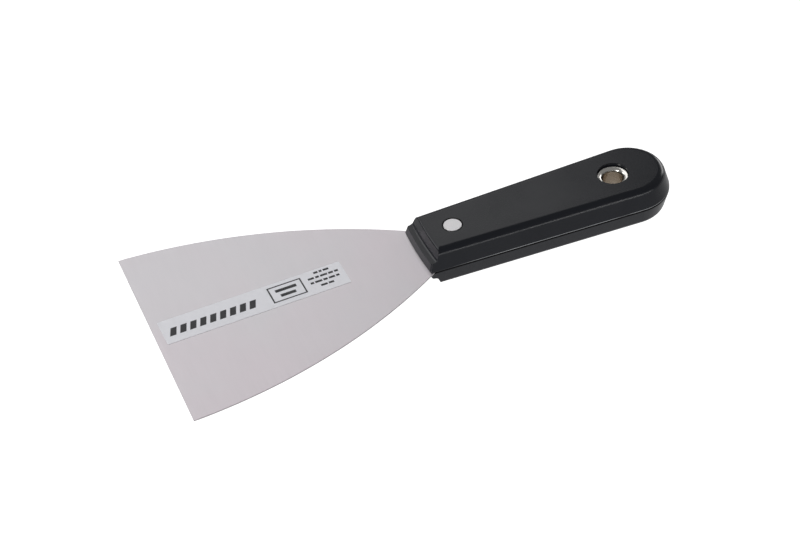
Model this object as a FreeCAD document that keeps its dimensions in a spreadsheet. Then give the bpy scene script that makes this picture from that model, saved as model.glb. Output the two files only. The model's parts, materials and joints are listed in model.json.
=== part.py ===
"""A flexible putty knife: a springy steel blade whose tang is clamped between two moulded handle scales.

Millimetres. +X runs from the working edge to the butt, +Y across the blade, +Z up. The origin is in the middle
of the underside: halfway along, on the centre line, in the plane of the lower scale's flat back.
Every piece is drawn in a frame of its own that starts on the centre line at the front corners of the handle,
in the plane where the two scales meet, and is then moved as a whole.
"""

import FreeCAD, Part
import math
import os

import Sketcher
from FreeCAD import Vector

SIZES = {
    # Blade: reaches are measured forward from the handle's front corners, or back from the working edge.
    "edge_width": 100,
    "blade_reach": 112,
    "root_width": 30,
    "flank_radius": 230,
    "blade_thickness": 0.6,
    "grind_length": 3,
    "grind_depth": 0.12,
    "flex_reach": 83,
    "flex_gap": 0.2,
    # Tang: the part of the sheet that the handle holds.
    "shoulder_station": 2.2,
    "tang_width": 20,
    # Handle scales: stations are measured back from the front corners.
    "handle_length": 111.6,
    "front_width": 28.4,
    "butt_radius": 17.5,
    "scale_height": 9.2,
    "side_draft": 15,
    "corner_round": 1,
    "top_round": 3.2,
    "seam_round": 0.45,
    # Front of a scale, seen from the side: a thin lip, a hollow cove, a steep ramp and a rounded brow.
    "bow_centre": 167,
    "lip_height": 3.9,
    "lip_round": 0.25,
    "cove_start": 0.85,
    "cove_radius": 2.6,
    "ramp_angle": 62,
    "brow_radius": 1.5,
    "brow_station": 5.7,
    # Inside of a scale.
    "side_wall": 2.6,
    "front_wall": 7,
    "roof": 2.6,
    "slot_length": 2.5,
    "slot_play": 0.25,
    "rib_thickness": 1.6,
    "rib_first": 30,
    "rib_pitch": 14,
    "locator_station": 102.5,
    "locator_boss": 3,
    "locator_radius": 1.2,
    "locator_height": 2,
    "locator_play": 0.1,
    # Front rivet: two halves pressed together, heads flush in counterbores.
    "rivet_station": 15.8,
    "rivet_head": 3.75,
    "rivet_head_thickness": 1.5,
    "rivet_pocket": 4.04,
    "rivet_tube": 2.5,
    "rivet_shank": 1.6,
    "rivet_play": 0.1,
    "rivet_boss": 6,
    "rivet_chamfer": 0.15,
    # Hanging eyelet at the butt.
    "eyelet_station": 87.5,
    "eyelet_pocket": 6.55,
    "eyelet_sink": 2,
    "eyelet_bore": 4.3,
    "eyelet_wall": 0.7,
    "eyelet_flange": 6.3,
    "eyelet_flare": 1.7,
    "eyelet_play": 0.1,
    "eyelet_boss": 9.3,
    "washer_thickness": 0.5,
    # Film label on the blade: from the working edge to its middle, and how far it is off centre and askew.
    "label_reach": 42.4,
    "label_offset": 1.5,
    "label_skew": 1.4,
    "label_length": 78,
    "label_width": 13.7,
    "label_corner": 0.5,
    "label_thickness": 0.1,
}
RIB_COUNT = 4
TOUCH = 1e-9  # volumes and places closer than this are the same
NEAR = 1e-3  # slack in an edge's bounding box
MARGIN = 5  # how far a cutting shape is carried past what it cuts
SKETCH_ORIGIN, HORIZONTAL_AXIS, VERTICAL_AXIS = -1, -1, -2
START, END, CENTRE = 1, 2, 3


class Size:
    """A length with the sheet formula that it comes from, so that a drawing is bound to the sheet."""

    def __init__(self, value, formula):
        self.value = float(value)
        self.formula = formula

    def _with(self, sign, other, value):
        return Size(value, f"({self.formula} {sign} {as_size(other).formula})")

    def __add__(self, other):
        return self._with("+", other, self.value + as_size(other).value)

    def __sub__(self, other):
        return self._with("-", other, self.value - as_size(other).value)

    def __mul__(self, other):
        return self._with("*", other, self.value * as_size(other).value)

    def __truediv__(self, other):
        return self._with("/", other, self.value / as_size(other).value)

    def __neg__(self):
        return Size(-self.value, f"(-1 * {self.formula})")

    def turned(self, ratio):
        """The sine, cosine or tangent of an angle in degrees."""
        return Size(getattr(math, ratio)(math.radians(self.value)), f"{ratio}({self.formula} * 1 deg)")


def as_size(thing):
    """A plain number as a Size; a Size as it is."""
    return thing if isinstance(thing, Size) else Size(thing, str(thing))


class Sheet:
    """The spreadsheet of driving sizes, with each of them as a Size of that name."""

    def __init__(self, doc):
        cells = doc.addObject("Spreadsheet::Sheet", "Sizes")
        for row, (alias, value) in enumerate(SIZES.items(), start=1):
            cells.set(f"A{row}", alias.replace("_", " "))
            cells.set(f"B{row}", str(value))
            cells.setAlias(f"B{row}", alias)
            setattr(self, alias, Size(value, f"Sizes.{alias}"))
        doc.recompute()


# ---------------------------------------------------------------- sketches


def new_sketch(body, name, plane, lift=None):
    """A sketch on one of the body's own origin planes, or lifted off it."""
    sketch = body.newObject("Sketcher::SketchObject", name)
    support = next(f for f in body.Origin.OriginFeatures if f.Role == plane)
    sketch.AttachmentSupport = [(support, "")]
    sketch.MapMode = "FlatFace"
    if lift is not None:
        sketch.setExpression("AttachmentOffset.Base.z", lift.formula)
    return sketch


def hold_point(sketch, geometry, point, x, y):
    """Fixes a point of the sketch at x and y, measured from the sketch's origin."""
    for kind, axis, place in (("DistanceX", VERTICAL_AXIS, x), ("DistanceY", HORIZONTAL_AXIS, y)):
        place = as_size(place)
        if abs(place.value) < TOUCH:
            sketch.addConstraint(Sketcher.Constraint("PointOnObject", geometry, point, axis))
            continue
        ends = [SKETCH_ORIGIN, START, geometry, point]
        if place.value < 0:
            ends = ends[2:] + ends[:2]
            place = -place
        index = sketch.addConstraint(Sketcher.Constraint(kind, *ends, place.value))
        sketch.setExpression(f"Constraints[{index}]", place.formula)


def hold_radius(sketch, geometry, radius):
    """Fixes the radius of an arc or a circle."""
    radius = as_size(radius)
    index = sketch.addConstraint(Sketcher.Constraint("Radius", geometry, radius.value))
    sketch.setExpression(f"Constraints[{index}]", radius.formula)


def joined(sketch, first, first_point, second, second_point, kind="Coincident"):
    """Two ends meet; with kind Tangent they also run smoothly into each other."""
    sketch.addConstraint(Sketcher.Constraint(kind, first, first_point, second, second_point))


def angle_of(vector):
    return math.atan2(vector.y, vector.x)


def arc_between(start, end, radius, side):
    """The shorter arc from start to end, turning left or right on the way."""
    chord = end - start
    rise = math.sqrt(max(radius**2 - (chord.Length / 2) ** 2, 0))
    to_left = Vector(-chord.y, chord.x, 0).normalize()
    centre = start + chord / 2 + to_left * (rise if side == "left" else -rise)
    first, last = (start, end) if side == "left" else (end, start)
    circle = Part.Circle(centre, Vector(0, 0, 1), radius)
    return Part.ArcOfCircle(circle, angle_of(first - centre), angle_of(last - centre))


def contour(sketch, steps):
    """A closed outline with every corner held. A step is (x, y), or (x, y, radius, side) before an arc."""
    places = [Vector(as_size(x).value, as_size(y).value, 0) for x, y, *_ in steps]
    runs = []
    for number, (x, y, *bend) in enumerate(steps):
        start, end = places[number], places[(number + 1) % len(steps)]
        if bend:
            radius, side = bend
            shape = arc_between(start, end, as_size(radius).value, side)
            ends = (START, END) if side == "left" else (END, START)
        else:
            shape = Part.LineSegment(start, end)
            ends = (START, END)
        index = sketch.addGeometry(shape, False)
        runs.append((index, *ends))
        if bend:
            hold_radius(sketch, index, radius)
        hold_point(sketch, index, ends[0], x, y)
    for before, after in zip(runs, runs[1:] + runs[:1]):
        joined(sketch, before[0], before[2], after[0], after[1])


def circle(sketch, x, y, radius):
    """A full circle with its centre and radius held."""
    centre = Vector(as_size(x).value, as_size(y).value, 0)
    index = sketch.addGeometry(Part.Circle(centre, Vector(0, 0, 1), as_size(radius).value), False)
    hold_radius(sketch, index, radius)
    hold_point(sketch, index, CENTRE, x, y)


def rectangle(sketch, left, right, half_width):
    """A rectangle about the sketch's X axis."""
    contour(sketch, [(left, -half_width), (right, -half_width), (right, half_width), (left, half_width)])


def tapered_outline(sketch, front, half_width, centre, radius, bow_centre=None):
    """A scale's plan: straight sides that widen into a round butt, and a front that is straight or bowed."""
    slope = math.asin((radius.value - half_width.value) / (centre.value - as_size(front).value))
    middle = Vector(centre.value, 0, 0)
    corners = [Vector(as_size(front).value, side * half_width.value, 0) for side in (-1, 1)]
    tangents = [
        middle + Vector(-math.sin(slope), side * math.cos(slope), 0) * radius.value for side in (-1, 1)
    ]
    near = sketch.addGeometry(Part.LineSegment(corners[0], tangents[0]), False)
    butt = sketch.addGeometry(arc_through(middle, tangents[0], tangents[1], radius.value), False)
    far = sketch.addGeometry(Part.LineSegment(tangents[1], corners[1]), False)
    hold_point(sketch, near, START, front, -half_width)
    hold_point(sketch, far, END, front, half_width)
    hold_point(sketch, butt, CENTRE, centre, 0)
    hold_radius(sketch, butt, radius)
    joined(sketch, near, END, butt, START, "Tangent")
    joined(sketch, butt, END, far, START, "Tangent")
    if bow_centre is None:
        nose = sketch.addGeometry(Part.LineSegment(corners[1], corners[0]), False)
    else:
        hub = Vector(bow_centre.value, 0, 0)
        reach = (corners[0] - hub).Length
        nose = sketch.addGeometry(arc_through(hub, corners[1], corners[0], reach), False)
        hold_station(sketch, nose, CENTRE, bow_centre)
    joined(sketch, far, END, nose, START)
    joined(sketch, nose, END, near, START)


def arc_through(centre, start, end, radius):
    """The arc that runs counter-clockwise about centre from start to end."""
    ring = Part.Circle(centre, Vector(0, 0, 1), radius)
    return Part.ArcOfCircle(ring, angle_of(start - centre), angle_of(end - centre))


# ---------------------------------------------------------------- features


def new_body(doc, name):
    body = doc.addObject("PartDesign::Body", name)
    body.Label = name
    return body


def volume_of(body):
    return 0 if body.Shape.isNull() else body.Shape.Volume


def add_feature(body, kind, name, sketch, adds, **settings):
    """A feature made from a sketch. It has to add or to remove material, as adds says."""
    doc = body.Document
    doc.recompute()
    before = volume_of(body)
    feature = body.newObject(f"PartDesign::{kind}", name)
    feature.Profile = sketch
    for key, value in settings.items():
        if isinstance(value, Size):
            feature.setExpression(key, value.formula)
        else:
            setattr(feature, key, value)
    doc.recompute()
    change = volume_of(body) - before
    if (change <= TOUCH) if adds else (change >= -TOUCH):
        raise RuntimeError(f"{body.Label}: {name} changed the volume by {change:.4f} mm3")
    return feature


def edges_where(shape, test):
    """Names of the edges that pass a test on their bounding box."""
    return [f"Edge{i}" for i, edge in enumerate(shape.Edges, start=1) if test(edge.BoundBox)]


def rounded(body, name, radius, test):
    """A fillet on the edges of the body's tip that pass the test."""
    base = body.Tip
    names = edges_where(base.Shape, test)
    if not names:
        raise RuntimeError(f"{body.Label}: {name} found no edge")
    fillet = body.newObject("PartDesign::Fillet", name)
    fillet.Base = (base, names)
    fillet.setExpression("Radius", radius.formula)
    body.Document.recompute()
    if "Invalid" in fillet.State:
        raise RuntimeError(f"{body.Label}: {name} failed on {names}")
    return fillet


def place(body, x, y, z, turn=None):
    """Moves a finished piece from the handle's own frame to its place in the whole knife."""
    body.Placement = FreeCAD.Placement(Vector(0, 0, 0), turn or FreeCAD.Rotation())
    for letter, value in zip("xyz", (x, y, z)):
        body.setExpression(f"Placement.Base.{letter}", as_size(value).formula)
    return body


# ---------------------------------------------------------------- the steel sheet


def flank(s, sketch, back):
    """The flared sheet from the working edge back to a station, its sides single arcs that pass the root."""
    front = -s.blade_reach
    half_edge, half_root = s.edge_width / 2, s.root_width / 2
    hub = flank_hub(s)
    rise = math.sqrt(s.flank_radius.value**2 - (back.value - hub.x) ** 2)
    back_far = Vector(back.value, hub.y + rise, 0)
    edge_far = Vector(front.value, half_edge.value, 0)
    mirrored = [Vector(p.x, -p.y, 0) for p in (edge_far, back_far, hub)]
    edge = sketch.addGeometry(Part.LineSegment(edge_far, mirrored[0]), False)
    near = sketch.addGeometry(arc_through(mirrored[2], mirrored[0], mirrored[1], s.flank_radius.value), False)
    end = sketch.addGeometry(Part.LineSegment(mirrored[1], back_far), False)
    far = sketch.addGeometry(arc_through(hub, back_far, edge_far, s.flank_radius.value), False)
    hold_point(sketch, edge, START, front, half_edge)
    hold_point(sketch, edge, END, front, -half_edge)
    joined(sketch, edge, END, near, START)
    joined(sketch, near, END, end, START)
    joined(sketch, end, END, far, START)
    joined(sketch, far, END, edge, START)
    for arc, side in ((near, -half_root), (far, half_root)):
        hold_radius(sketch, arc, s.flank_radius)
        root = sketch.addGeometry(Part.Point(Vector(0, side.value, 0)), True)
        hold_point(sketch, root, START, 0, side)
        sketch.addConstraint(Sketcher.Constraint("PointOnObject", root, START, arc))
    sketch.addConstraint(Sketcher.Constraint("Vertical", end))
    hold_station(sketch, end, START, back)


def hold_station(sketch, geometry, point, x):
    """Fixes only how far along a point is."""
    ends = [SKETCH_ORIGIN, START, geometry, point]
    if x.value < 0:
        ends = ends[2:] + ends[:2]
        x = -x
    index = sketch.addConstraint(Sketcher.Constraint("DistanceX", *ends, x.value))
    sketch.setExpression(f"Constraints[{index}]", x.formula)


def flank_hub(s):
    """Centre of the far flank's arc, which passes the edge's corner and the root."""
    corner = Vector(-s.blade_reach.value, s.edge_width.value / 2, 0)
    root = Vector(0, s.root_width.value / 2, 0)
    chord = root - corner
    rise = math.sqrt(s.flank_radius.value**2 - (chord.Length / 2) ** 2)
    return corner + chord / 2 + Vector(chord.y, -chord.x, 0).normalize() * rise


def make_blade(doc, s):
    """The free blade, up to the line that it bends about."""
    body = new_body(doc, "blade")
    sketch = new_sketch(body, "blade_outline", "XY_Plane")
    flank(s, sketch, s.flex_reach - s.blade_reach - s.flex_gap / 2)
    add_feature(body, "Pad", "sheet", sketch, True, Length=s.blade_thickness, Midplane=True)
    grind = new_sketch(body, "edge_grind", "XZ_Plane")
    tip, face = -s.blade_reach, s.blade_thickness / 2
    for side in (1, -1):
        contour(grind, [(tip, face * side), (tip + s.grind_length, face * side),
                        (tip, (face - s.grind_depth) * side)])
    add_feature(body, "Pocket", "ground_edge", grind, False, Type="ThroughAll", Midplane=True)
    return body


def make_tang(doc, s):
    """The rest of the same sheet: the root that shows, the shoulders and the tang inside the handle."""
    body = new_body(doc, "blade_tang")
    whole = new_sketch(body, "root_outline", "XY_Plane")
    flank(s, whole, s.shoulder_station)
    add_feature(body, "Pad", "root", whole, True, Length=s.blade_thickness, Midplane=True)
    free = new_sketch(body, "free_length", "XY_Plane")
    bend_line = s.flex_reach - s.blade_reach + s.flex_gap / 2
    rectangle(free, -s.blade_reach - MARGIN, bend_line, s.edge_width)
    add_feature(body, "Pocket", "free_blade_removed", free, False, Type="ThroughAll", Midplane=True)
    strip = new_sketch(body, "tang_outline", "XY_Plane")
    half, end = s.tang_width / 2, s.eyelet_station
    contour(strip, [(0, -half), (end, -half, half, "left"),
                    (end + half, 0, half, "left"), (end, half), (0, half)])
    add_feature(body, "Pad", "tang", strip, True, Length=s.blade_thickness, Midplane=True)
    rounded(body, "shoulder_rounds", s.corner_round,
            lambda box: box.XLength < NEAR and box.YLength < NEAR
            and abs(box.XMin - s.shoulder_station.value) < NEAR and abs(abs(box.YMin) - half.value) < NEAR)
    holes = new_sketch(body, "tang_holes", "XY_Plane")
    circle(holes, s.rivet_station, 0, s.rivet_tube + s.rivet_play * 2)
    circle(holes, s.eyelet_station, 0, s.eyelet_bore + s.eyelet_wall + s.eyelet_play * 3)
    add_feature(body, "Pocket", "fastener_holes", holes, False, Type="ThroughAll", Midplane=True)
    return body


# ---------------------------------------------------------------- the handle


def make_scale(doc, s, name, locator):
    """One moulded half of the handle, drawn with its seam face down and its back up."""
    body = new_body(doc, name)
    outline = new_sketch(body, "outline", "XY_Plane")
    centre = s.handle_length - s.butt_radius
    half_front = s.front_width / 2
    tapered_outline(outline, 0, half_front, centre, s.butt_radius, s.bow_centre)
    add_feature(body, "Pad", "block", outline, True, Length=s.scale_height, TaperAngle=-s.side_draft)
    height, brow, lip = s.scale_height.value, s.brow_station.value, s.lip_height.value
    rounded(body, "back_edge", s.top_round, lambda box: box.ZMin > height - NEAR and box.XMax > brow)
    carve_front(body, s)
    rounded(body, "lip_corners", s.corner_round,
            lambda box: box.XMax < brow / 2 and box.YLength < brow / 2 and abs(box.ZLength - lip) < NEAR)
    rounded(body, "seam_edge", s.seam_round, lambda box: box.ZMax < NEAR)
    rounded(body, "lip_edge", s.lip_round,
            lambda box: abs(box.ZMax - lip) < NEAR and box.ZLength < NEAR
            and box.XMin < s.cove_start.value - NEAR and box.YLength > height)
    hollow_out(body, s, centre, half_front)
    bore_for_fasteners(body, s)
    if locator == "pin":
        add_locator_pin(body, s)
    else:
        cut_locator_socket(body, s)
    return body


def carve_front(body, s):
    """The lip, cove, ramp and brow, swept round the same centre as the bowed front."""
    sketch = new_sketch(body, "front_profile", "XZ_Plane")
    sine, cosine = s.ramp_angle.turned("sin"), s.ramp_angle.turned("cos")
    ramp_foot = (s.cove_start + s.cove_radius * sine,
                 s.lip_height + s.cove_radius - s.cove_radius * cosine)
    ramp_head = (s.brow_station - s.brow_radius * sine,
                 s.scale_height - s.brow_radius + s.brow_radius * cosine)
    above = s.scale_height + MARGIN
    contour(sketch, [
        (-MARGIN, s.lip_height),
        (s.cove_start, s.lip_height, s.cove_radius, "left"),
        ramp_foot,
        (*ramp_head, s.brow_radius, "right"),
        (s.brow_station, s.scale_height),
        (s.brow_station, above),
        (-MARGIN, above),
    ])
    foot, head = Vector(s.bow_centre.value, 0, 0), Vector(s.bow_centre.value, s.scale_height.value, 0)
    pivot = sketch.addGeometry(Part.LineSegment(foot, head), True)
    hold_point(sketch, pivot, START, s.bow_centre, 0)
    hold_point(sketch, pivot, END, s.bow_centre, s.scale_height)
    add_feature(body, "Groove", "front", sketch, False,
                ReferenceAxis=(sketch, ["Axis0"]), Angle=20, Midplane=True)


def hollow_out(body, s, centre, half_front):
    """The coring behind the seam face, with ribs and bosses left to hold the tang, and the slot for it."""
    seat = s.blade_thickness / 2
    core = new_sketch(body, "core", "XY_Plane")
    tapered_outline(core, s.front_wall, half_front - s.side_wall, centre, s.butt_radius - s.side_wall)
    depth = s.scale_height - s.roof
    add_feature(body, "Pocket", "coring", core, False, Length=depth, TaperAngle=-s.side_draft, Reversed=True)
    ribs = new_sketch(body, "rib_outlines", "XY_Plane", seat)
    for number in range(RIB_COUNT):
        rib = s.rib_first + s.rib_pitch * number
        rectangle(ribs, rib - s.rib_thickness / 2, rib + s.rib_thickness / 2, half_front - s.side_wall)
    add_feature(body, "Pad", "ribs", ribs, True, Length=s.scale_height - s.roof / 2 - seat)
    bosses = new_sketch(body, "boss_outlines", "XY_Plane", seat)
    circle(bosses, s.rivet_station, 0, s.rivet_boss)
    circle(bosses, s.eyelet_station, 0, s.eyelet_boss)
    circle(bosses, s.locator_station, 0, s.locator_boss)
    add_feature(body, "Pad", "bosses", bosses, True, Length=s.scale_height - s.roof / 2 - seat)
    slot = new_sketch(body, "slot_outline", "XY_Plane")
    wide, narrow = s.front_width, s.tang_width / 2 + s.slot_play
    inner = s.front_wall + s.slot_play
    contour(slot, [(-MARGIN, -wide), (s.slot_length, -wide), (s.slot_length, -narrow), (inner, -narrow),
                   (inner, narrow), (s.slot_length, narrow), (s.slot_length, wide), (-MARGIN, wide)])
    add_feature(body, "Pocket", "blade_slot", slot, False, Length=seat, Reversed=True)


def bore_for_fasteners(body, s):
    """Counterbores in the back for the rivet head and the eyelet's flange, and the holes below them."""
    for word, station, pocket, sink, hole in (
        ("rivet", s.rivet_station, s.rivet_pocket, s.rivet_head_thickness, s.rivet_tube + s.rivet_play),
        ("eyelet", s.eyelet_station, s.eyelet_pocket, s.eyelet_sink,
         s.eyelet_bore + s.eyelet_wall + s.eyelet_play),
    ):
        recess = new_sketch(body, f"{word}_recess", "XY_Plane", s.scale_height)
        circle(recess, station, 0, pocket)
        add_feature(body, "Pocket", f"{word}_counterbore", recess, False, Length=sink)
        through = new_sketch(body, f"{word}_hole", "XY_Plane")
        circle(through, station, 0, hole)
        add_feature(body, "Pocket", f"{word}_bore", through, False, Type="ThroughAll", Reversed=True)


def add_locator_pin(body, s):
    """A short peg that stands out of the seam."""
    sketch = new_sketch(body, "locator_outline", "XY_Plane", s.blade_thickness)
    circle(sketch, s.locator_station, 0, s.locator_radius)
    add_feature(body, "Pad", "locator_pin", sketch, True,
                Length=s.locator_height + s.blade_thickness, Reversed=True)


def cut_locator_socket(body, s):
    """The hole that takes the other half's peg."""
    sketch = new_sketch(body, "socket_outline", "XY_Plane")
    circle(sketch, s.locator_station, 0, s.locator_radius + s.locator_play)
    add_feature(body, "Pocket", "locator_socket", sketch, False,
                Length=s.locator_height + s.locator_play * 3, Reversed=True)


# ---------------------------------------------------------------- fasteners and label


def turned(doc, name, steps):
    """A round piece made by turning half of its section about the Z axis."""
    body = new_body(doc, name)
    sketch = new_sketch(body, "half_section", "XZ_Plane")
    contour(sketch, steps)
    add_feature(body, "Revolution", "turning", sketch, True, ReferenceAxis=(sketch, ["V_Axis"]), Angle=360)
    return body


def make_rivet_post(doc, s):
    """Upper half of the front rivet: a flush head and the solid shank that is pressed into the tube."""
    top, under = s.scale_height, s.scale_height - s.rivet_head_thickness
    tip = -(under - s.rivet_chamfer * 4)
    head, cut = s.rivet_head, s.rivet_chamfer
    return turned(doc, "front_rivet_post", [
        (0, tip), (s.rivet_shank - cut, tip), (s.rivet_shank, tip + cut), (s.rivet_shank, under),
        (head, under), (head, top - cut), (head - cut, top), (0, top)])


def make_rivet_cap(doc, s):
    """Lower half of the front rivet: a flush head with the tube that passes the scales and the tang."""
    under, floor = -s.scale_height, s.rivet_head_thickness - s.scale_height
    head, cut = s.rivet_head, s.rivet_chamfer
    return turned(doc, "front_rivet_cap", [
        (0, under), (head - cut, under), (head, under + cut), (head, floor), (s.rivet_tube, floor),
        (s.rivet_tube, -floor), (s.rivet_shank, -floor), (s.rivet_shank, floor), (0, floor)])


def make_eyelet(doc, s):
    """The hanging eyelet: a tube with a bell-mouthed flange on top and its foot rolled over the washer."""
    bore, outer = s.eyelet_bore, s.eyelet_bore + s.eyelet_wall
    seat = s.scale_height - s.eyelet_sink
    foot = -(seat + s.washer_thickness)
    mouth = bore + s.eyelet_flare
    crown = seat + s.eyelet_wall
    return turned(doc, "hanging_eyelet", [
        (bore, crown - s.eyelet_flare, s.eyelet_flare, "right"),
        (mouth, crown),
        (s.eyelet_flange - s.eyelet_wall / 4, crown, s.eyelet_wall / 4, "right"),
        (s.eyelet_flange, crown - s.eyelet_wall / 4),
        (s.eyelet_flange, seat),
        (outer, seat),
        (outer, foot),
        (mouth, foot, s.eyelet_wall / 2, "right"),
        (mouth + s.eyelet_wall / 2, foot - s.eyelet_wall / 2, s.eyelet_wall / 2, "right"),
        (mouth, foot - s.eyelet_wall, s.eyelet_flare, "right"),
        (bore, foot - s.eyelet_wall + s.eyelet_flare),
    ])


def make_eyelet_washer(doc, s):
    """The flat ring that the eyelet's foot is rolled over."""
    inner = s.eyelet_bore + s.eyelet_wall + s.eyelet_play
    top = -(s.scale_height - s.eyelet_sink)
    bottom = top - s.washer_thickness
    return turned(doc, "eyelet_washer",
                  [(inner, bottom), (s.eyelet_flange, bottom), (s.eyelet_flange, top), (inner, top)])


def make_label(doc, s):
    """A thin film label, drawn about its own middle."""
    body = new_body(doc, "blade_label")
    sketch = new_sketch(body, "label_outline", "XY_Plane")
    long_half, short_half, cut = s.label_length / 2, s.label_width / 2, s.label_corner
    contour(sketch, [
        (-long_half + cut, -short_half), (long_half - cut, -short_half, cut, "left"),
        (long_half, -short_half + cut), (long_half, short_half - cut, cut, "left"),
        (long_half - cut, short_half), (-long_half + cut, short_half, cut, "left"),
        (-long_half, short_half - cut), (-long_half, -short_half + cut, cut, "left")])
    add_feature(body, "Pad", "film", sketch, True, Length=s.label_thickness)
    return body


# ---------------------------------------------------------------- the knife


def make_knife(doc):
    s = Sheet(doc)
    butt_trim = s.seam_round * (s.side_draft.turned("tan") + as_size(1) / s.side_draft.turned("cos") - 1)
    front = (s.blade_reach - s.handle_length + butt_trim) / 2
    seam = s.scale_height
    over = FreeCAD.Rotation(Vector(1, 0, 0), 180)
    askew = FreeCAD.Rotation(Vector(0, 0, 1), s.label_skew.value)
    rivet, eyelet = front + s.rivet_station, front + s.eyelet_station
    return [
        place(make_blade(doc, s), front, 0, seam),
        place(make_tang(doc, s), front, 0, seam),
        place(make_scale(doc, s, "upper_scale", "socket"), front, 0, seam),
        place(make_scale(doc, s, "lower_scale", "pin"), front, 0, seam, over),
        place(make_rivet_post(doc, s), rivet, 0, seam),
        place(make_rivet_cap(doc, s), rivet, 0, seam),
        place(make_eyelet(doc, s), eyelet, 0, seam),
        place(make_eyelet_washer(doc, s), eyelet, 0, seam),
        place(make_label(doc, s), front - s.blade_reach + s.label_reach, s.label_offset,
              seam + s.blade_thickness / 2, askew),
    ]


def check(doc, pieces):
    """Stops if any object failed or any piece is not one valid solid."""
    for item in doc.Objects:
        if any(state in ("Invalid", "Error") for state in item.State):
            raise RuntimeError(f"{item.Label} failed: {item.State}")
    for piece in pieces:
        shape = piece.Shape
        if shape.isNull() or not shape.isValid() or len(shape.Solids) != 1:
            raise RuntimeError(f"{piece.Label} is not one valid solid")


def write(pieces):
    os.makedirs("parts", exist_ok=True)
    for piece in pieces:
        piece.Shape.exportStep(f"parts/{piece.Label}.step")
        box = piece.Shape.BoundBox
        print(f"{piece.Label:18s} {piece.Shape.Volume:9.1f} mm3  "
              f"{box.XLength:6.1f} x {box.YLength:5.1f} x {box.ZLength:5.2f} mm")


def main():
    doc = FreeCAD.newDocument("putty_knife")
    pieces = make_knife(doc)
    doc.recompute()
    check(doc, pieces)
    write(pieces)


main()
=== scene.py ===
# %% [markdown]
# # A flexible putty knife
#
# The real tool is a thin spring-steel blade, flared from 30 mm at the handle to 100 mm at its straight
# working edge. Its tang is clamped between two black moulded scales by a flush rivet and a nickel hanging
# eyelet, and a silvery film label is stuck on the blade.
#
# The CAD model comes first. It is the frame: every piece below is placed from its boxes and its joint, so
# nothing has to be fitted by eye. The frame has two bodies, the handle and the part of the blade that
# flexes.

# %% Load the CAD frame
import json
import math

import bmesh
import bpy
from mathutils import Matrix, Vector


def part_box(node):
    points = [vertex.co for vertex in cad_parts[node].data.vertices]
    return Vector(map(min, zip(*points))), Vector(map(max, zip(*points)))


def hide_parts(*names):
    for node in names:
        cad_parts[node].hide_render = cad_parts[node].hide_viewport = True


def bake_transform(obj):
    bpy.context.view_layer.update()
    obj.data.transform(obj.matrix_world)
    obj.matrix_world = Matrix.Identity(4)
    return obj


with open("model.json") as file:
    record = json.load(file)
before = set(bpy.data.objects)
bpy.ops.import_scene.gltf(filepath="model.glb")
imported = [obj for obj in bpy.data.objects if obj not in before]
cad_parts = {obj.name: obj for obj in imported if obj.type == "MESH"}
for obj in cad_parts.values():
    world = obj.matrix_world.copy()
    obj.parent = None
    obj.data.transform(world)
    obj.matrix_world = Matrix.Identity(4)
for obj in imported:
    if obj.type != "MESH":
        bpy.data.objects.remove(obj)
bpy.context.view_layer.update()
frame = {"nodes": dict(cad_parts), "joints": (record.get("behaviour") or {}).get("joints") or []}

print("nodes", sorted(frame["nodes"]))

# %% [markdown]
# ## Sizes that everything shares
#
# Blender works in metres. Most places are read from the frame, so only the few sizes that a box can't tell
# are written here, such as the radius of the blade's curved sides.

# %% Read the main places from the frame
MM = 0.001
MICRON = 1e-6

blade_low, blade_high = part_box("blade")
tang_low, tang_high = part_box("blade_tang")
label_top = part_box("blade_label")[1].z
scale_low, scale_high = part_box("upper_scale")
flex = Vector(frame["joints"][0]["pos_m"])

EDGE_X = blade_low.x
SHEET_LOW, SHEET_HIGH = blade_low.z, blade_high.z
HANDLE_FRONT = scale_low.x
print(f"working edge at {EDGE_X / MM:.1f} mm")
print(f"handle from {HANDLE_FRONT / MM:.1f} to {scale_high.x / MM:.1f} mm")
print(f"sheet {(SHEET_HIGH - SHEET_LOW) / MM:.2f} mm thick, flexing about x = {flex.x / MM:.1f} mm")

# %% [markdown]
# ## Plates
#
# The blade, the label and its print are all thin flat plates. A plate could be a box that is cut to shape,
# but these have to bend smoothly, and a cut box has no corners in between to bend at. So each plate is made
# from rows of points. Neighbouring points become square faces, the faces are copied to the other
# side, and the rim is closed with walls. The result is one closed skin with as many rows as the bend needs.

# %% Helpers that build a closed plate from a grid of points


def spread(first, last, steps):
    """Evenly spaced values from first to last, both included."""
    return [first + (last - first) * number / steps for number in range(steps + 1)]


def new_piece(name, mesh_data):
    piece = bpy.data.objects.new(name, mesh_data)
    bpy.context.scene.collection.objects.link(piece)
    return piece


def plate(name, points, cells, low, high):
    """A closed plate between two heights. Cells are lists of point numbers, seen from above."""
    bm = bmesh.new()
    corners = [bm.verts.new((x, y, low)) for x, y in points]
    for cell in cells:
        bm.faces.new([corners[number] for number in cell])
    made = bmesh.ops.extrude_face_region(bm, geom=bm.faces[:])
    raised = [item for item in made["geom"] if isinstance(item, bmesh.types.BMVert)]
    bmesh.ops.translate(bm, verts=raised, vec=(0, 0, high - low))
    bmesh.ops.recalc_face_normals(bm, faces=bm.faces[:])
    mesh_data = bpy.data.meshes.new(name)
    bm.to_mesh(mesh_data)
    bm.free()
    return new_piece(name, mesh_data)


def grid_cells(rows):
    """The square cells between rows of point numbers. None is a place with no point."""
    cells = []
    for row, following in zip(rows, rows[1:]):
        for column in range(len(row) - 1):
            cell = [row[column], following[column], following[column + 1], row[column + 1]]
            if None not in cell:
                cells.append(cell)
    return cells


def faces_of(piece):
    return f"{piece.name}: {len(piece.data.polygons)} faces"


print("plate helpers ready")

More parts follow.
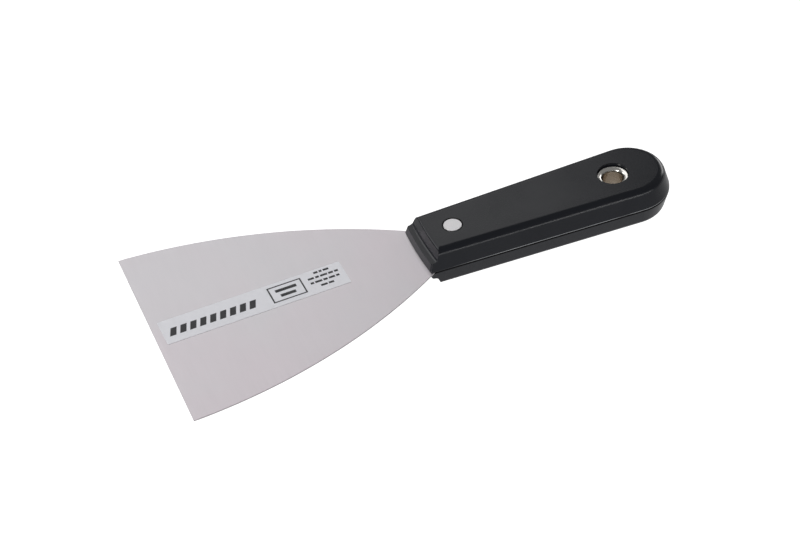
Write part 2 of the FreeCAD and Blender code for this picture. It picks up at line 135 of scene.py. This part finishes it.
# %% [markdown]
# ## The steel sheet
#
# On the real knife the blade and the tang are one piece of steel, 0.6 mm thick. The frame has it as two
# solids with a narrow gap, so that it can turn about a hinge. Here it is one sheet again, which replaces
# both.
#
# Its sides are single arcs. Two points on an arc and its radius give the arc's centre, and the centre gives
# the half width anywhere along the blade. Behind the shoulders only the inner columns of the grid carry on,
# as the 20 mm wide tang.

# %% Outline of the sheet
FLANK_RADIUS = 230 * MM
TANG_HALF = 10 * MM
SHOULDER_DEPTH = 2.67 * MM  # how far inside the handle the blade's shoulders are
SHOULDER_X = HANDLE_FRONT + SHOULDER_DEPTH
TANG_ROUND_X = tang_high.x - TANG_HALF

edge_corner = Vector((EDGE_X, blade_high.y))
hinge_corner = Vector((tang_low.x, tang_high.y))
chord = hinge_corner - edge_corner
flank_rise = math.sqrt(FLANK_RADIUS**2 - (chord.length / 2) ** 2)
flank_hub = edge_corner + chord / 2 + Vector((chord.y, -chord.x)).normalized() * flank_rise


def half_width(x):
    """Half the sheet's width, from the working edge to the end of the tang."""
    if x <= SHOULDER_X + MICRON:
        return flank_hub.y + math.sqrt(FLANK_RADIUS**2 - (x - flank_hub.x) ** 2)
    return math.sqrt(TANG_HALF**2 - max(x - TANG_ROUND_X, 0) ** 2)


print(f"half width at the edge {half_width(EDGE_X) / MM:.2f} mm")
print(f"half width at the handle {half_width(HANDLE_FRONT) / MM:.2f} mm")

# %% Build the sheet, with short rows where it bends
GRIND_LENGTH = 3 * MM
GRIND_DEPTH = 0.12 * MM
GRIND_ROWS, BLADE_ROWS, TANG_ROWS, END_ROWS = 3, 72, 24, 8
INNER_COLUMNS, OUTER_COLUMNS = 8, 5
TANG_END_TURN = math.radians(86)  # a little short of a quarter turn, so that the last row keeps a width

end_turns = spread(0, TANG_END_TURN, END_ROWS)[1:]
stations = (
    spread(EDGE_X, EDGE_X + GRIND_LENGTH, GRIND_ROWS)[:-1]
    + spread(EDGE_X + GRIND_LENGTH, SHOULDER_X, BLADE_ROWS)
    + spread(SHOULDER_X, TANG_ROUND_X, TANG_ROWS)[1:]
    + [TANG_ROUND_X + TANG_HALF * math.sin(turn) for turn in end_turns]
)

sheet_points, sheet_rows = [], []
for x in stations:
    full, inner = half_width(x), min(TANG_HALF, half_width(x))
    wing = spread(inner, full, OUTER_COLUMNS)[1:] if x <= SHOULDER_X + MICRON else []
    across = [-y for y in reversed(wing)] + spread(-inner, inner, INNER_COLUMNS) + wing
    missing = [None] * (OUTER_COLUMNS - len(wing))
    sheet_rows.append(missing + [len(sheet_points) + number for number in range(len(across))] + missing)
    sheet_points += [(x, y) for y in across]

blade_sheet = plate("blade_sheet", sheet_points, grid_cells(sheet_rows), SHEET_LOW, SHEET_HIGH)
for vertex in blade_sheet.data.vertices:
    ground = max(0.0, 1 - (vertex.co.x - EDGE_X) / GRIND_LENGTH)
    vertex.co.z += ground * GRIND_DEPTH * (1 if vertex.co.z < flex.z else -1)
print(faces_of(blade_sheet))

# %% [markdown]
# The tang has a hole for each fastener. Cutting a round hole into a grid by hand is fiddly, so a boolean
# does it: a round bar is placed where the hole goes and taken away from the sheet. A bevel of a few
# hundredths of a millimetre, made before the holes are cut, breaks every sharp edge but theirs, because a
# stamped and deburred edge always catches a thin line of light.

# %% Helpers that cut a hole, break the edges and shade what is left
BAR_LENGTH, BAR_SIDES = 10 * MM, 64


def apply_modifiers(piece):
    """Makes what the modifiers show into the piece's own mesh."""
    scene_now = bpy.context.evaluated_depsgraph_get()
    finished = bpy.data.meshes.new_from_object(piece.evaluated_get(scene_now))
    piece.modifiers.clear()
    piece.data = finished


def cut_round_hole(piece, centre, radius):
    """Takes a round bar along Z away from the piece."""
    bm = bmesh.new()
    bmesh.ops.create_cone(bm, cap_ends=True, segments=BAR_SIDES, depth=BAR_LENGTH,
                          radius1=radius, radius2=radius)
    bmesh.ops.translate(bm, verts=bm.verts, vec=centre)
    bar_mesh = bpy.data.meshes.new("bar")
    bm.to_mesh(bar_mesh)
    bm.free()
    bar = new_piece("bar", bar_mesh)
    cut = piece.modifiers.new("hole", "BOOLEAN")
    cut.operation, cut.solver, cut.object = "DIFFERENCE", "EXACT", bar
    apply_modifiers(piece)
    bpy.data.objects.remove(bar)


def break_edges(piece, width, degrees=40):
    """A small chamfer along every edge sharper than the angle."""
    chamfer = piece.modifiers.new("edges", "BEVEL")
    chamfer.width, chamfer.segments = width, 1
    chamfer.limit_method, chamfer.angle_limit = "ANGLE", math.radians(degrees)
    apply_modifiers(piece)


def shade_by_angle(piece, degrees=30):
    """Smooth over gentle bends, crisp at edges sharper than the angle."""
    piece.data.shade_smooth()
    piece.data.set_sharp_from_angle(angle=math.radians(degrees))


print("cutting helpers ready")

# %% Cut the fastener holes and break the sheet's edges
RIVET_TUBE, RIVET_PLAY = 2.5 * MM, 0.15 * MM
EYELET_TUBE, EYELET_PLAY = 5 * MM, 0.3 * MM
EDGE_BREAK = 0.04 * MM


def middle_of(node):
    low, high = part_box(node)
    return (low + high) / 2


rivet_middle, eyelet_middle = middle_of("front_rivet_cap"), middle_of("hanging_eyelet")
break_edges(blade_sheet, EDGE_BREAK)
cut_round_hole(blade_sheet, (rivet_middle.x, 0, flex.z), RIVET_TUBE + RIVET_PLAY)
cut_round_hole(blade_sheet, (eyelet_middle.x, 0, flex.z), EYELET_TUBE + EYELET_PLAY)
shade_by_angle(blade_sheet)
print(faces_of(blade_sheet))

# %% [markdown]
# ## The label and its print
#
# The label is a film a tenth of a millimetre thick, stuck on a little off centre and slightly askew. What
# is printed on it is left general: a band of slanted stripes, a plain framed field and four rows of short
# dashes stand where a maker would print a name, a mark and a few words. Each mark is a thin plate of its
# own, a fiftieth of a millimetre thick, so that its edges stay crisp at any distance.

# %% The label's own directions, along and across
LABEL_SKEW = math.radians(1.4)
LABEL_LENGTH, LABEL_WIDTH, LABEL_CORNER = 78 * MM, 13.7 * MM, 0.5 * MM
INK = 0.02 * MM
BEND_STEP = 1.5 * MM

label_middle = middle_of("blade_label")
label_turn = Matrix.Rotation(LABEL_SKEW, 2)


def on_label(along, across):
    """A place on the blade from a place on the label, measured from the label's middle."""
    return tuple(label_middle.xy + label_turn @ Vector((along, across)))


def strip(first, last, low_side, high_side):
    """Grid of a strip along the label. Its two sides are functions of the distance along it."""
    steps = max(1, math.ceil((last - first) / BEND_STEP))
    places = spread(first, last, steps)
    points = [on_label(along, side(along)) for along in places for side in (low_side, high_side)]
    rows = [[2 * number, 2 * number + 1] for number in range(len(places))]
    return points, grid_cells(rows)


print("label middle", [round(value / MM, 2) for value in label_middle])

# %% Build the film
FILM_ROWS, CORNER_ROWS, FILM_COLUMNS = 52, 4, 4

corner_steps = spread(0, math.pi / 2, CORNER_ROWS)
straight_end = LABEL_LENGTH / 2 - LABEL_CORNER
ends = [straight_end + LABEL_CORNER * math.sin(turn) for turn in corner_steps]
film_places = [-place for place in reversed(ends)] + spread(-straight_end, straight_end, FILM_ROWS)[1:-1] + ends


def film_half_width(along):
    past = max(abs(along) - straight_end, 0)
    return LABEL_WIDTH / 2 - LABEL_CORNER + math.sqrt(max(LABEL_CORNER**2 - past**2, 0))


film_points, film_rows = [], []
for along in film_places:
    across = spread(-film_half_width(along), film_half_width(along), FILM_COLUMNS)
    film_rows.append([len(film_points) + number for number in range(len(across))])
    film_points += [on_label(along, side) for side in across]

label_film = plate("label_film", film_points, grid_cells(film_rows), SHEET_HIGH, label_top)
shade_by_angle(label_film)
print(faces_of(label_film))

# %% Build the print
STRIPES, STRIPE_WIDTH, STRIPE_SLANT = 9, 2.6 * MM, 1.6 * MM
STRIPE_FIRST, STRIPE_LAST = -36.7 * MM, 1.0 * MM
STRIPE_LOW, STRIPE_HIGH = -3.0 * MM, 1.4 * MM
FIELD = (6.8 * MM, 21.3 * MM, -4.4 * MM, 5.0 * MM)
FIELD_LINE = 0.6 * MM
FIELD_BARS = ((1.9 * MM, 9.0 * MM), (-1.3 * MM, 6.5 * MM))  # place across the label, and length
BAR_HALF = 0.8 * MM
DASH_HEIGHT = 1.1 * MM
DASH_GAP = 0.55 * MM
DASH_ROWS = (  # place across the label, start along it, and the dashes' lengths in millimetres
    (5.0 * MM, 27.2 * MM, (1.8, 1.2, 2.4)),
    (2.3 * MM, 23.8 * MM, (2.6, 1.6, 3.0, 2.0, 1.6)),
    (-0.4 * MM, 24.0 * MM, (1.4, 3.0, 1.8, 2.6, 1.4)),
    (-3.1 * MM, 27.4 * MM, (2.8, 2.2)),
)

marks = []


def add_mark(points, cells):
    marks.append((points, cells))


def rectangle(left, right, low, high):
    add_mark(*strip(left, right, lambda along: low, lambda along: high))


stripe_pitch = (STRIPE_LAST - STRIPE_FIRST - STRIPE_WIDTH - STRIPE_SLANT) / (STRIPES - 1)
for number in range(STRIPES):
    foot = STRIPE_FIRST + stripe_pitch * number
    corners = ((foot, STRIPE_LOW), (foot + STRIPE_WIDTH, STRIPE_LOW),
               (foot + STRIPE_WIDTH + STRIPE_SLANT, STRIPE_HIGH), (foot + STRIPE_SLANT, STRIPE_HIGH))
    add_mark([on_label(*corner) for corner in corners], [[0, 1, 2, 3]])

left, right, low, high = FIELD
rectangle(left, right, low, low + FIELD_LINE)
rectangle(left, right, high - FIELD_LINE, high)
for side in (left, right - FIELD_LINE):
    rectangle(side, side + FIELD_LINE, low + FIELD_LINE, high - FIELD_LINE)
field_middle = (left + right) / 2
for height, length in FIELD_BARS:
    rectangle(field_middle - length / 2, field_middle + length / 2, height - BAR_HALF, height + BAR_HALF)

for height, start, words in DASH_ROWS:
    for length in words:
        rectangle(start, start + length * MM, height - DASH_HEIGHT / 2, height + DASH_HEIGHT / 2)
        start += length * MM + DASH_GAP

print_points, print_cells = [], []
for points, cells in marks:
    print_cells += [[number + len(print_points) for number in cell] for cell in cells]
    print_points += points
label_print = plate("label_print", print_points, print_cells, label_top, label_top + INK)
shade_by_angle(label_print)
print(faces_of(label_print), "in", len(marks), "marks")

# %% [markdown]
# ## The sheet, film and print in place of the frame's blade
#
# The frame turns the front of the blade about one hinge line. A real blade bends over a length. Here the
# sheet, the film and the print only have their places written into their own meshes, and the frame's blade,
# tang and label are hidden.

# %% Settle the sheet, film and print, and hide the frame's blade, tang and label
for piece in (blade_sheet, label_film, label_print):
    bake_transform(piece)
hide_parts("blade", "blade_tang")
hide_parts("blade_label")

# %% [markdown]
# ## Finishes
#
# Every finish is a node material. What several of them need is made once as a node group: fine parallel
# grinding lines, and the faint smears and specks that any handled surface has. A group gives only values
# that vary over the surface. The shader, and every number that is the same all over, stays in the material
# itself.

# %% Helpers for node trees


def new_group(name, inputs, outputs):
    """An empty shader node group with named sockets, and the nodes at its two ends."""
    group = bpy.data.node_groups.new(name, "ShaderNodeTree")
    for label, default in inputs.items():
        socket = group.interface.new_socket(label, in_out="INPUT", socket_type="NodeSocketFloat")
        socket.default_value = default
    for label, kind in outputs.items():
        group.interface.new_socket(label, in_out="OUTPUT", socket_type=kind)
    return group, group.nodes.new("NodeGroupInput"), group.nodes.new("NodeGroupOutput")


def add_node(tree, kind, links=None, **settings):
    """A node with its settings made and its inputs linked or filled in."""
    node = tree.nodes.new(kind)
    for key, value in settings.items():
        setattr(node, key, value)
    for key, value in (links or {}).items():
        if isinstance(value, bpy.types.NodeSocket):
            tree.links.new(value, node.inputs[key])
        else:
            node.inputs[key].default_value = value
    return node


NOISE_BAND = (0.3, 0.7)  # a noise texture's values seldom leave this band


def ramp(tree, factor, low, high, first, last):
    """Turns a factor between low and high into a value between first and last."""
    node = add_node(tree, "ShaderNodeMapRange", {"Value": factor})
    for key, value in (("From Min", low), ("From Max", high), ("To Min", first), ("To Max", last)):
        node.inputs[key].default_value = value
    return node.outputs["Result"]


def tint(tree, factor, first, second):
    """A colour between two. Each is three numbers, or a socket that gives a colour."""
    ends = {key: end if isinstance(end, bpy.types.NodeSocket) else (*end, 1)
            for key, end in (("A", first), ("B", second))}
    return add_node(tree, "ShaderNodeMix", {"Factor": factor, **ends}, data_type="RGBA").outputs["Result"]


print("node helpers ready")

# %% Shared effect: fine parallel grinding lines
lines_group, lines_in, lines_out = new_group(
    "grinding_lines",
    {"Along": 40.0, "Across": 2500.0},
    {"Lines": "NodeSocketFloat"},
)
place = add_node(lines_group, "ShaderNodeTexCoord")
stretch = add_node(lines_group, "ShaderNodeCombineXYZ", {"X": lines_in.outputs["Across"],
                                                         "Y": lines_in.outputs["Along"],
                                                         "Z": lines_in.outputs["Across"]})
stretched = add_node(lines_group, "ShaderNodeVectorMath", operation="MULTIPLY")
lines_group.links.new(place.outputs["Object"], stretched.inputs[0])
lines_group.links.new(stretch.outputs[0], stretched.inputs[1])
scratches = add_node(lines_group, "ShaderNodeTexNoise", {"Vector": stretched.outputs[0], "Scale": 1.0,
                                                         "Detail": 3.0, "Roughness": 0.6})
lines_group.links.new(scratches.outputs["Fac"], lines_out.inputs["Lines"])
print("group", lines_group.name)

# %% Shared effect: smears and specks from handling
marks_group, marks_in, marks_out = new_group(
    "handling_marks",
    {"Smear Scale": 30.0, "Speck Scale": 900.0},
    {"Smears": "NodeSocketFloat", "Specks": "NodeSocketFloat"},
)
place = add_node(marks_group, "ShaderNodeTexCoord")
smears = add_node(marks_group, "ShaderNodeTexNoise", {"Vector": place.outputs["Object"],
                                                      "Scale": marks_in.outputs["Smear Scale"],
                                                      "Detail": 4.0, "Distortion": 0.8})
specks = add_node(marks_group, "ShaderNodeTexNoise", {"Vector": place.outputs["Object"],
                                                      "Scale": marks_in.outputs["Speck Scale"],
                                                      "Detail": 2.0})
marks_group.links.new(smears.outputs["Fac"], marks_out.inputs["Smears"])
marks_group.links.new(specks.outputs["Fac"], marks_out.inputs["Specks"])
print("group", marks_group.name)

# %% Helper that starts a finish


def new_finish(name, **constants):
    """A material with a Principled shader whose constant values are set on its own sockets."""
    finish = bpy.data.materials.new(name)
    finish.use_nodes = True
    shader = finish.node_tree.nodes["Principled BSDF"]
    for key, value in constants.items():
        shader.inputs[key.replace("_", " ").title().replace("Ior", "IOR")].default_value = value
    return finish, finish.node_tree, shader


def use_group(tree, group, **values):
    node = add_node(tree, "ShaderNodeGroup", node_tree=group)
    for key, value in values.items():
        node.inputs[key.replace("_", " ").title()].default_value = value
    return node


def relief(tree, shader, height, depth):
    """Fine relief of a real depth, in metres."""
    bump = add_node(tree, "ShaderNodeBump", {"Height": height, "Distance": depth, "Strength": 1.0})
    tree.links.new(bump.outputs["Normal"], shader.inputs["Normal"])


def roughen(tree, shader, noise, limits):
    """Roughness that varies between two limits as the noise does."""
    tree.links.new(ramp(tree, noise, *NOISE_BAND, *limits), shader.inputs["Roughness"])


def wear(piece, finish):
    """Gives a piece one finish all over."""
    piece.data.materials.clear()
    piece.data.materials.append(finish)


print("finish helpers ready")

# %% [markdown]
# ### Ground spring steel
#
# The sheet is belt-ground across its width and left matte. Up close there are fine lines side by side;
# further off they only widen the reflections. So the shader is a fairly rough metal, the lines change its
# roughness and relief a little, and slow smears tint it between a warm and a cool grey.

# %% Finish: ground steel
STEEL_WARM, STEEL_COOL = (0.645, 0.600, 0.630), (0.630, 0.612, 0.634)
STEEL_ROUGHNESS = (0.385, 0.435)
WARMTH_BAND = (0.35, 0.65)
SCRATCH_DEPTH = 0.6 * MICRON

ground_steel, tree, shader = new_finish("ground_steel", metallic=1.0)
lines = use_group(tree, lines_group, along=60.0, across=3500.0)
handled = use_group(tree, marks_group, smear_scale=14.0, speck_scale=1400.0)
warmth = ramp(tree, handled.outputs["Smears"], *WARMTH_BAND, 0, 1)
tree.links.new(tint(tree, warmth, STEEL_WARM, STEEL_COOL), shader.inputs["Base Color"])
roughen(tree, shader, lines.outputs["Lines"], STEEL_ROUGHNESS)
relief(tree, shader, lines.outputs["Lines"], SCRATCH_DEPTH)
wear(blade_sheet, ground_steel)
print("finish", ground_steel.name)

# %% [markdown]
# ### Moulded handle plastic
#
# The scales are moulded in a near-black plastic with a soft gloss. The colour is never quite black, a faint
# cloudiness changes the gloss, and a fine orange-peel from the mould breaks up the highlights.
#
# Two small things are painted into the colour. Painted shade darkens the seam and the ring round the rivet's
# head, and both read as dull black lines. A painted highlight lies along the upper scale's edge, just above
# the seam, as a thin pale line that comes and goes. Both are masks: values from 0 to 1 worked out from
# where a point is.

# %% Masks for the handle: how far a point is from the seam and from the rivet
# Each pair is the distance at which a mask begins to change and the one at which it has changed.
# Where the seam's painted shade begins and ends.
SEAM_SHADE_RISES, SEAM_SHADE_FALLS = (-0.50 * MM, -0.38 * MM), (0.22 * MM, 0.34 * MM)
# Where the painted highlight line on the upper scale's edge begins and ends.
HIGHLIGHT_RISES, HIGHLIGHT_FALLS = (0.30 * MM, 0.40 * MM), (0.52 * MM, 0.66 * MM)
# Where the painted shade round the rivet's head ends.
RING_FALLS = (4.15 * MM, 4.45 * MM)

handle_plastic, tree, shader = new_finish("handle_plastic", specular_ior_level=0.32)


def both(tree, first, second, operation="MULTIPLY"):
    """Two masks combined: multiplied to keep what they share, or the larger of the two."""
    return add_node(tree, "ShaderNodeMath", {0: first, 1: second}, operation=operation).outputs["Value"]


handle_place = add_node(tree, "ShaderNodeTexCoord").outputs["Object"]
axes = add_node(tree, "ShaderNodeSeparateXYZ", {"Vector": handle_place}).outputs
flat_place = add_node(tree, "ShaderNodeCombineXYZ", {"X": axes["X"], "Y": axes["Y"]}).outputs["Vector"]
from_rivet = add_node(tree, "ShaderNodeVectorMath", {0: flat_place, 1: (rivet_middle.x, 0, 0)},
                      operation="DISTANCE").outputs["Value"]
over_seam = add_node(tree, "ShaderNodeMath", {0: axes["Z"], 1: flex.z}, operation="SUBTRACT").outputs["Value"]
in_seam = both(tree, ramp(tree, over_seam, *SEAM_SHADE_RISES, 0, 1), ramp(tree, over_seam, *SEAM_SHADE_FALLS, 1, 0))
# Painted shade: the seam's groove and the ring round the rivet's head are darkened in the colour.
painted_shade = both(tree, in_seam, ramp(tree, from_rivet, *RING_FALLS, 1, 0), "MAXIMUM")
# Painted highlight: a thin pale line along the upper scale's edge, just above the seam.
highlight_line = both(tree, ramp(tree, over_seam, *HIGHLIGHT_RISES, 0, 1), ramp(tree, over_seam, *HIGHLIGHT_FALLS, 1, 0))
print(f"masks for the seam at {flex.z / MM:.2f} mm and the rivet at {rivet_middle.x / MM:.2f} mm")

# %% Finish: handle plastic
PLASTIC_BLACKS = (0.0095, 0.0110, 0.0155), (0.0125, 0.0140, 0.0190)
PLASTIC_ROUGHNESS = (0.17, 0.26)
# The near-black of the painted shade, and how dull it is.
PAINTED_SHADE_BLACK, PAINTED_SHADE_ROUGHNESS = (0.0015, 0.0015, 0.0018), 0.9
# The grey of the painted highlight.
PAINTED_HIGHLIGHT_GREY = (0.42, 0.43, 0.45)
PATCH_BAND, PATCH_LEAST = (0.38, 0.56), 0.45
HIGHLIGHT_REACH, HIGHLIGHT_LEAST = (8 * MM, 30 * MM), 0.1  # the painted highlight is faintest in front of this, and full behind it
ORANGE_PEEL = 6 * MICRON

handled = use_group(tree, marks_group, smear_scale=45.0, speck_scale=1800.0)
patchy = ramp(tree, handled.outputs["Smears"], *PATCH_BAND, PATCH_LEAST, 1)
# The painted highlight comes and goes, and fades towards the handle's front.
painted_highlight = both(tree, both(tree, highlight_line, patchy), ramp(tree, axes["X"], *HIGHLIGHT_REACH, HIGHLIGHT_LEAST, 1))
plain = tint(tree, handled.outputs["Smears"], *PLASTIC_BLACKS)
# The plastic's own colour with the painted highlight and the painted shade laid over it.
with_painted_light = tint(tree, painted_shade, tint(tree, painted_highlight, plain, PAINTED_HIGHLIGHT_GREY), PAINTED_SHADE_BLACK)
gloss = ramp(tree, handled.outputs["Smears"], *NOISE_BAND, *PLASTIC_ROUGHNESS)
tree.links.new(with_painted_light, shader.inputs["Base Color"])
dull = ramp(tree, painted_shade, 0, 1, 0, PAINTED_SHADE_ROUGHNESS)
tree.links.new(both(tree, gloss, dull, "MAXIMUM"), shader.inputs["Roughness"])
relief(tree, shader, handled.outputs["Specks"], ORANGE_PEEL)
for node in ("upper_scale", "lower_scale"):
    wear(frame["nodes"][node], handle_plastic)
print("finish", handle_plastic.name)

# %% [markdown]
# ### Rivet and eyelet
#
# The rivet's head is bare aluminium, pressed flat and slightly brushed by it. The eyelet is nickel-plated
# brass: bright on the rolled flange, thinner and warmer down the bore, where the plating hardly reaches.

# %% Finish: rivet aluminium
ALUMINIUM_TONES = (0.70, 0.69, 0.70), (0.88, 0.87, 0.88)
ALUMINIUM_ROUGHNESS = (0.38, 0.52)
BRUSHED_DEPTH = 8 * MICRON

rivet_aluminium, tree, shader = new_finish("rivet_aluminium", metallic=1.0)
lines = use_group(tree, lines_group, along=900.0, across=2600.0)
tree.links.new(tint(tree, lines.outputs["Lines"], *ALUMINIUM_TONES), shader.inputs["Base Color"])
roughen(tree, shader, lines.outputs["Lines"], ALUMINIUM_ROUGHNESS)
relief(tree, shader, lines.outputs["Lines"], BRUSHED_DEPTH)
for node in ("front_rivet_post", "front_rivet_cap"):
    wear(frame["nodes"][node], rivet_aluminium)
print("finish", rivet_aluminium.name)

# %% Finish: nickel-plated brass
NICKEL_BRIGHT, NICKEL_THIN = (0.86, 0.84, 0.80), (0.60, 0.54, 0.47)
NICKEL_ROUGHNESS = (0.12, 0.26)
PLATING_ENDS, PLATING_FULL = 2.6 * MM, 0.9 * MM  # below the eyelet's top
PLATING_RIPPLE = 4 * MICRON

eyelet_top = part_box("hanging_eyelet")[1].z
nickel, tree, shader = new_finish("nickel_plate", metallic=1.0)
handled = use_group(tree, marks_group, smear_scale=250.0, speck_scale=2200.0)
place = add_node(tree, "ShaderNodeTexCoord")
height = add_node(tree, "ShaderNodeSeparateXYZ", {"Vector": place.outputs["Object"]}).outputs["Z"]
down_bore = ramp(tree, height, eyelet_top - PLATING_ENDS, eyelet_top - PLATING_FULL, 1, 0)
tree.links.new(tint(tree, down_bore, NICKEL_BRIGHT, NICKEL_THIN), shader.inputs["Base Color"])
roughen(tree, shader, handled.outputs["Smears"], NICKEL_ROUGHNESS)
relief(tree, shader, handled.outputs["Specks"], PLATING_RIPPLE)
for node in ("hanging_eyelet", "eyelet_washer"):
    wear(frame["nodes"][node], nickel)
print("finish", nickel.name)

# %% [markdown]
# ### Label film and ink
#
# The film is a pale bluish silver with a little sheen. The ink is a dark grey that lets nothing through.

# %% Finish: film
FILM_SILVERS = (0.81, 0.81, 0.85), (0.86, 0.86, 0.90)
FILM_ROUGHNESS = (0.34, 0.46)
FILM_RIPPLE = 2 * MICRON

film_silver, tree, shader = new_finish("film_silver", metallic=0.5)
handled = use_group(tree, marks_group, smear_scale=60.0, speck_scale=1500.0)
tree.links.new(tint(tree, handled.outputs["Smears"], *FILM_SILVERS), shader.inputs["Base Color"])
roughen(tree, shader, handled.outputs["Specks"], FILM_ROUGHNESS)
relief(tree, shader, handled.outputs["Specks"], FILM_RIPPLE)
wear(label_film, film_silver)
print("finish", film_silver.name)

# %% Finish: ink
INK_GREYS = (0.018, 0.018, 0.022), (0.040, 0.040, 0.046)
INK_ROUGHNESS = (0.40, 0.55)

print_ink, tree, shader = new_finish("print_ink")
handled = use_group(tree, marks_group, smear_scale=120.0, speck_scale=2500.0)
tree.links.new(tint(tree, handled.outputs["Specks"], *INK_GREYS), shader.inputs["Base Color"])
roughen(tree, shader, handled.outputs["Smears"], INK_ROUGHNESS)
wear(label_print, print_ink)
print("finish", print_ink.name)

# %% [markdown]
# ## Studio
#
# A tool can be shown with no shadow at all. A studio gets that by laying it on clear glass, some way above
# a pale floor that is lit from within. Here the glass itself is left out, and the floor glows: more towards
# the camera than towards the knife, so that it doesn't grey the black sides. No real floor does that, but a
# renderer can tell the two apart. The gap under the knife is also what lets the blade bend down without
# going through the floor.

# %% Floor
GLOW = (0.15, 0.85)  # towards the knife, and towards the camera
FLOOR_DROP, FLOOR_HALF = 50 * MM, 3.0
FLOOR_TONE = (0.80, 0.80, 0.80, 1)

bm = bmesh.new()
bmesh.ops.create_grid(bm, x_segments=1, y_segments=1, size=FLOOR_HALF)
bmesh.ops.translate(bm, verts=bm.verts, vec=(0, 0, -FLOOR_DROP))
floor_mesh = bpy.data.meshes.new("floor")
bm.to_mesh(floor_mesh)
bm.free()
floor = new_piece("floor", floor_mesh)
floor_paint, tree, shader = new_finish("floor_paint", roughness=0.9, specular_ior_level=0.1)
shader.inputs["Base Color"].default_value = FLOOR_TONE
looked_at = add_node(tree, "ShaderNodeLightPath").outputs["Is Camera Ray"]
tree.links.new(ramp(tree, looked_at, 0, 1, *GLOW), shader.inputs["Emission Strength"])
wear(floor, floor_paint)
print("floor", 2 * FLOOR_HALF, "m wide")

# %% [markdown]
# A dark glossy handle is drawn by what it mirrors, so the soft panels stand where their reflections help. A
# wide one behind is mirrored by the flat back and the blade, two on the left by the handle's front edges,
# one on the right by its round butt, and a low strip in front draws the pale line under the rounded edge.
# The overhead stays dim, which leaves that rounded edge dark.

# %% Lights
SKY = 0.20
LIT_POINT = (0, 0, 10 * MM)
PANELS = {  # where each panel stands, its width and height, all in metres, and its power in watts
    "back_panel": ((-0.12, 1.5, 1.4), 1.9, 1.4, 8.7),
    "left_back_panel": ((-1.2, 1.3, 0.8), 0.5, 0.7, 2.8),
    "left_panel": ((-1.5, -0.6, 0.5), 0.5, 0.7, 9),
    "right_panel": ((1.6, 0.9, 0.4), 1.0, 0.6, 8),
    "near_strip": ((0.6, -2.0, 0.22), 2.4, 0.2, 9),
}


def panel(name, place, width, height, power):
    """A soft rectangular light that faces the knife."""
    light = bpy.data.lights.new(name, "AREA")
    light.shape, light.size, light.size_y, light.energy = "RECTANGLE", width, height, power
    lamp = bpy.data.objects.new(name, light)
    bpy.context.scene.collection.objects.link(lamp)
    lamp.location = place
    lamp.rotation_euler = (Vector(LIT_POINT) - Vector(place)).to_track_quat("-Z", "Y").to_euler()


for name, settings in PANELS.items():
    panel(name, *settings)

world = bpy.data.worlds.new("studio")
world.use_nodes = True
sky = world.node_tree.nodes["Background"]
sky.inputs["Color"].default_value = (1, 1, 1, 1)
sky.inputs["Strength"].default_value = SKY
bpy.context.scene.world = world
bpy.context.scene.view_settings.view_transform = "Standard"
print("sky", SKY, "and", len(bpy.data.lights), "panels")

# %% [markdown]
# ## Camera
#
# A long lens looks down at the knife from its near left, rolled a little. The angles turn the camera, and
# it stands back along its own view from the point that it looks at.

# %% Place the camera
LOOK_TURN, LOOK_DOWN, LOOK_ROLL = math.radians(-18.48), math.radians(42.17), math.radians(-5.27)
LOOK_AT = Vector((-14.45, -20.0, 24.0)) * MM
DISTANCE = 0.8808
LENS, SENSOR = 101, 36  # millimetres
NEAREST, FURTHEST = 0.05, 20  # what the camera sees, in metres

lens = bpy.data.cameras.new("camera")
lens.sensor_width, lens.lens = SENSOR, LENS
lens.clip_start, lens.clip_end = NEAREST, FURTHEST
camera = bpy.data.objects.new("camera", lens)
bpy.context.scene.collection.objects.link(camera)
turn = (Matrix.Rotation(LOOK_TURN, 3, "Z") @ Matrix.Rotation(math.pi / 2 - LOOK_DOWN, 3, "X")
        @ Matrix.Rotation(LOOK_ROLL, 3, "Z"))
camera.matrix_world = Matrix.Translation(LOOK_AT + turn @ Vector((0, 0, DISTANCE))) @ turn.to_4x4()
bpy.context.scene.camera = camera
print("camera at", [round(value, 3) for value in camera.matrix_world.translation])
